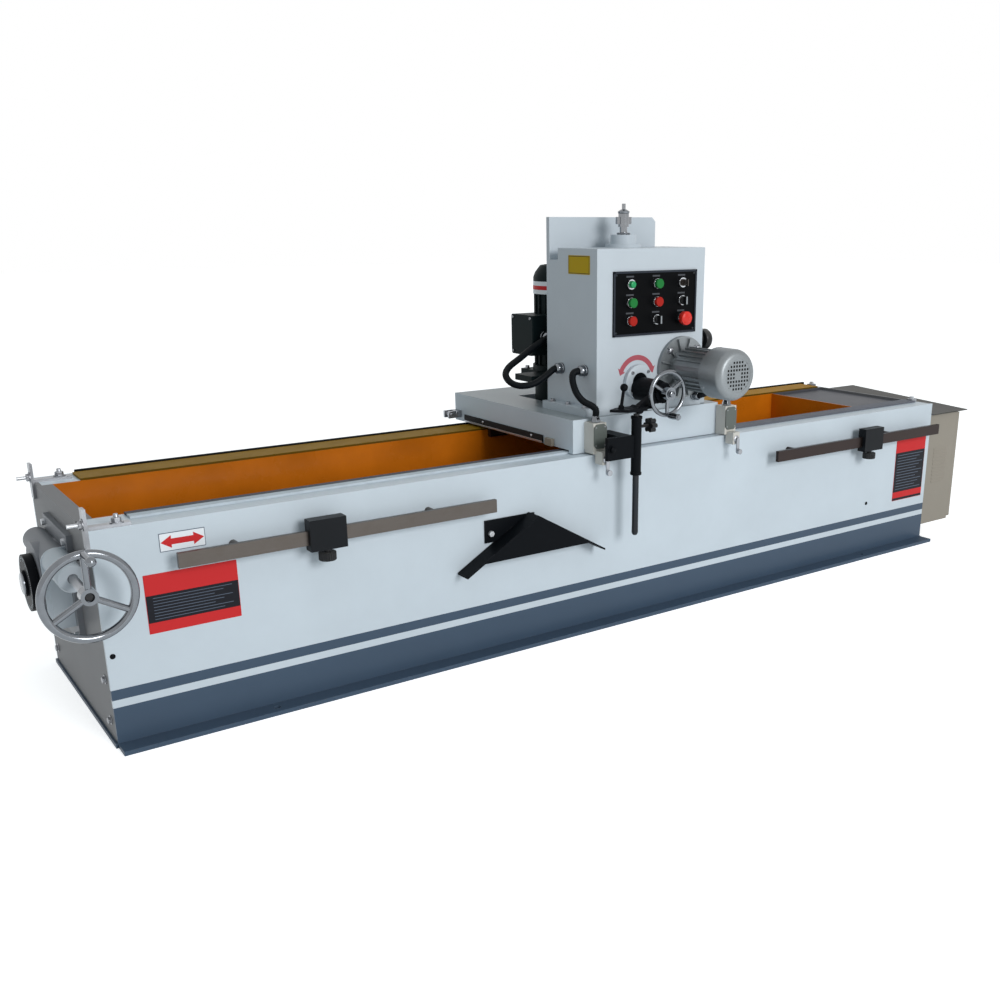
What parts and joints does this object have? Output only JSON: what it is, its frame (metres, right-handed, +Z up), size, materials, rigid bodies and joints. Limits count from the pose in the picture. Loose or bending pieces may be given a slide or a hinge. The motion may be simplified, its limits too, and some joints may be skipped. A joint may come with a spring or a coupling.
{
  "type": "planer knife grinder",
  "caption": "Floor-standing planer knife grinder: a long trough bed with a tilting knife table and a motorised carriage that carries a vertical cup-wheel grinding head.",
  "frame": {"origin": "plan centre of the bed on the floor, at the centre of the four anchor holes", "axes": "+X along the bed towards the cabinet, +Y from the operator's side to the rear, +Z up"},
  "size_m": [3.538, 0.975, 1.3051],
  "materials": {
    "navy_paint": "satin",
    "white_paint": "satin",
    "grey_paint": "satin",
    "table_iron": "ground",
    "orange_paint": "satin",
    "beige_paint": "satin",
    "steel": "ground",
    "chrome": "polished",
    "black_metal": "satin",
    "black_plastic": "moulded",
    "motor_silver": "satin",
    "motor_green": "satin",
    "conduit_black": "ribbed",
    "abrasive": "grainy",
    "signal_green": "gloss",
    "signal_red": "gloss",
    "key_metal": "polished"
  },
  "bodies": {
    "bed": {"base_frame": "navy_paint", "front_beam": "white_paint", "rear_beam": "white_paint", "left_end_plate": "grey_paint", "right_end_plate": "grey_paint", "trough_liner": "orange_paint", "way_bars": "steel", "rail_brackets": "steel", "bed_bolts": "steel", "stop_bars": "steel", "feed_ramp": "black_metal", "gearbox_housing": "grey_paint", "table_bearing": "table_iron", "drive_rack": "steel", "trough_cover": "grey_paint", "cabinet_box": "beige_paint"},
    "door": {"cabinet_door": "beige_paint"},
    "table": {"knife_table": "table_iron", "magnetic_chuck": "steel", "worm_wheel": "steel", "angle_dial": "black_metal"},
    "tilt_drive": {"worm_shaft": "steel", "tilt_handwheel": "chrome"},
    "tilt_grip": {"tilt_handle": "chrome"},
    "carriage": {"carriage_plate": "white_paint", "slide_shoes": "steel", "head_box": "white_paint", "column_plate": "white_paint", "control_panel": "black_metal", "traverse_motor": "motor_silver", "traverse_reducer": "grey_paint", "limit_switches": "motor_silver", "rod_bracket": "black_metal", "feed_housing": "black_metal", "switch_conduits": "conduit_black"},
    "pinion": {"drive_pinion": "steel"},
    "grinding_head": {"head_slide": "motor_green", "grinding_motor": "motor_green", "wheel_guard": "motor_green", "motor_conduit": "conduit_black"},
    "spindle": {"cup_wheel": "abrasive"},
    "feed_wheel": {"feed_handwheel": "chrome"},
    "screw": {"feed_screw": "chrome"},
    "pawl": {"pawl_lever": "black_metal"},
    "rod": {"push_rod": "steel"},
    "knob": {"rod_knob": "black_plastic"},
    "left_dog": {"trip_dog_left": "black_metal"},
    "right_dog": {"trip_dog_right": "black_metal"},
    "left_thumb_screw": {"dog_screw_left": "black_plastic"},
    "right_thumb_screw": {"dog_screw_right": "black_plastic"},
    "left_lever": {"switch_lever_left": "steel"},
    "right_lever": {"switch_lever_right": "steel"},
    "wheel_start": {"wheel_start_button": "signal_green"},
    "travel_start": {"travel_start_button": "signal_green"},
    "wheel_stop": {"wheel_stop_button": "signal_red"},
    "travel_stop": {"travel_stop_button": "signal_red"},
    "stop_mushroom": {"emergency_stop": "signal_red"},
    "speed_knob": {"speed_selector": "black_plastic"},
    "mode_knob": {"mode_selector": "black_plastic"},
    "key": {"key_switch": "key_metal"}
  },
  "joints": [
    {"name": "door_hinge", "type": "hinge", "parent": "bed", "child": "door", "pos_m": [1.767, 0.236, 0.29], "axis": [0, 0, 1], "range_deg": [0, 110]},
    {"name": "table_tilt", "type": "hinge", "parent": "bed", "child": "table", "pos_m": [0, 0, 0.36], "axis": [1, 0, 0], "range_deg": [-45, 45]},
    {"name": "tilt_wheel_turn", "type": "hinge", "parent": "bed", "child": "tilt_drive", "pos_m": [-1.622, -0.445, 0.435], "axis": [0, 1, 0], "range_deg": [-1810, 1810]},
    {"name": "tilt_handle_spin", "type": "hinge", "parent": "tilt_drive", "child": "tilt_grip", "pos_m": [-1.622, -0.49, 0.536], "axis": [0, 1, 0], "continuous": true},
    {"name": "carriage_travel", "type": "slide", "parent": "bed", "child": "carriage", "axis": [1, 0, 0], "range_m": [-0.84, 0.61]},
    {"name": "pinion_turn", "type": "hinge", "parent": "carriage", "child": "pinion", "pos_m": [0.281, -0.18, 0.505], "axis": [0, 0, 1], "range_deg": [-1180, 1620]},
    {"name": "head_feed", "type": "slide", "parent": "carriage", "child": "grinding_head", "axis": [0, 0, 1], "range_m": [-0.06, 0.09], "deforming": ["motor_conduit"]},
    {"name": "spindle_spin", "type": "hinge", "parent": "grinding_head", "child": "spindle", "pos_m": [0.093, 0.105, 0.65], "axis": [0, 0, 1], "continuous": true},
    {"name": "feed_wheel_turn", "type": "hinge", "parent": "carriage", "child": "feed_wheel", "pos_m": [0.098, -0.45, 0.7451], "axis": [0, 1, 0], "range_deg": [-2170, 3250]},
    {"name": "feed_screw_turn", "type": "hinge", "parent": "carriage", "child": "screw", "pos_m": [0.155, -0.151, 1.2], "axis": [0, 0, 1], "range_deg": [-2170, 3250]},
    {"name": "rod_lift", "type": "slide", "parent": "carriage", "child": "rod", "axis": [0, 0, 1], "range_m": [0, 0.115]},
    {"name": "pawl_swing", "type": "hinge", "parent": "carriage", "child": "pawl", "pos_m": [0.098, -0.417, 0.7451], "axis": [0, 1, 0], "range_deg": [0, 70]},
    {"name": "rod_knob_turn", "type": "hinge", "parent": "carriage", "child": "knob", "pos_m": [0.046, -0.42, 0.6471], "axis": [1, 0, 0], "range_deg": [0, 360]},
    {"name": "left_dog_slide", "type": "slide", "parent": "bed", "child": "left_dog", "axis": [1, 0, 0], "range_m": [-0.16, 0]},
    {"name": "right_dog_slide", "type": "slide", "parent": "bed", "child": "right_dog", "axis": [1, 0, 0], "range_m": [0, 0.06]},
    {"name": "left_thumb_turn", "type": "hinge", "parent": "left_dog", "child": "left_thumb_screw", "pos_m": [-1.02, -0.391, 0.42], "axis": [0, 0, 1], "range_deg": [0, 360]},
    {"name": "right_thumb_turn", "type": "hinge", "parent": "right_dog", "child": "right_thumb_screw", "pos_m": [1.16, -0.391, 0.42], "axis": [0, 0, 1], "range_deg": [0, 360]},
    {"name": "left_lever_swing", "type": "hinge", "parent": "carriage", "child": "left_lever", "pos_m": [-0.093, -0.385, 0.552], "axis": [0, 1, 0], "range_deg": [-30, 30], "stiffness_Nm_per_rad": 0.5},
    {"name": "right_lever_swing", "type": "hinge", "parent": "carriage", "child": "right_lever", "pos_m": [0.461, -0.385, 0.552], "axis": [0, 1, 0], "range_deg": [-30, 30], "stiffness_Nm_per_rad": 0.5},
    {"name": "wheel_start_press", "type": "slide", "parent": "carriage", "child": "wheel_start", "axis": [0, 1, 0], "range_m": [0, 0.004], "stiffness_N_per_m": 600, "springref_m": -0.003},
    {"name": "travel_start_press", "type": "slide", "parent": "carriage", "child": "travel_start", "axis": [0, 1, 0], "range_m": [0, 0.004], "stiffness_N_per_m": 600, "springref_m": -0.003},
    {"name": "wheel_stop_press", "type": "slide", "parent": "carriage", "child": "wheel_stop", "axis": [0, 1, 0], "range_m": [0, 0.004], "stiffness_N_per_m": 600, "springref_m": -0.003},
    {"name": "travel_stop_press", "type": "slide", "parent": "carriage", "child": "travel_stop", "axis": [0, 1, 0], "range_m": [0, 0.004], "stiffness_N_per_m": 600, "springref_m": -0.003},
    {"name": "emergency_stop_press", "type": "slide", "parent": "carriage", "child": "stop_mushroom", "axis": [0, 1, 0], "range_m": [0, 0.005], "stiffness_N_per_m": 600, "springref_m": -0.003},
    {"name": "speed_knob_turn", "type": "hinge", "parent": "carriage", "child": "speed_knob", "pos_m": [0.1665, -0.3045, 0.9561], "axis": [0, 1, 0], "range_deg": [-45, 45]},
    {"name": "mode_knob_turn", "type": "hinge", "parent": "carriage", "child": "mode_knob", "pos_m": [0.2715, -0.3045, 1.0111], "axis": [0, 1, 0], "range_deg": [-45, 45]},
    {"name": "key_turn", "type": "hinge", "parent": "carriage", "child": "key", "pos_m": [0.2715, -0.3045, 1.0661], "axis": [0, 1, 0], "range_deg": [0, 90]}
  ],
  "couplings": [
    {"joint": "tilt_wheel_turn", "follows": "table_tilt", "ratio": 40},
    {"joint": "pinion_turn", "follows": "carriage_travel", "rad_per_m": -33.333},
    {"joint": "feed_wheel_turn", "follows": "head_feed", "rad_per_m": 628.32},
    {"joint": "feed_screw_turn", "follows": "head_feed", "rad_per_m": 628.32},
    {"joint": "pawl_swing", "follows": "rod_lift", "rad_per_m": 10.3}
  ]
}
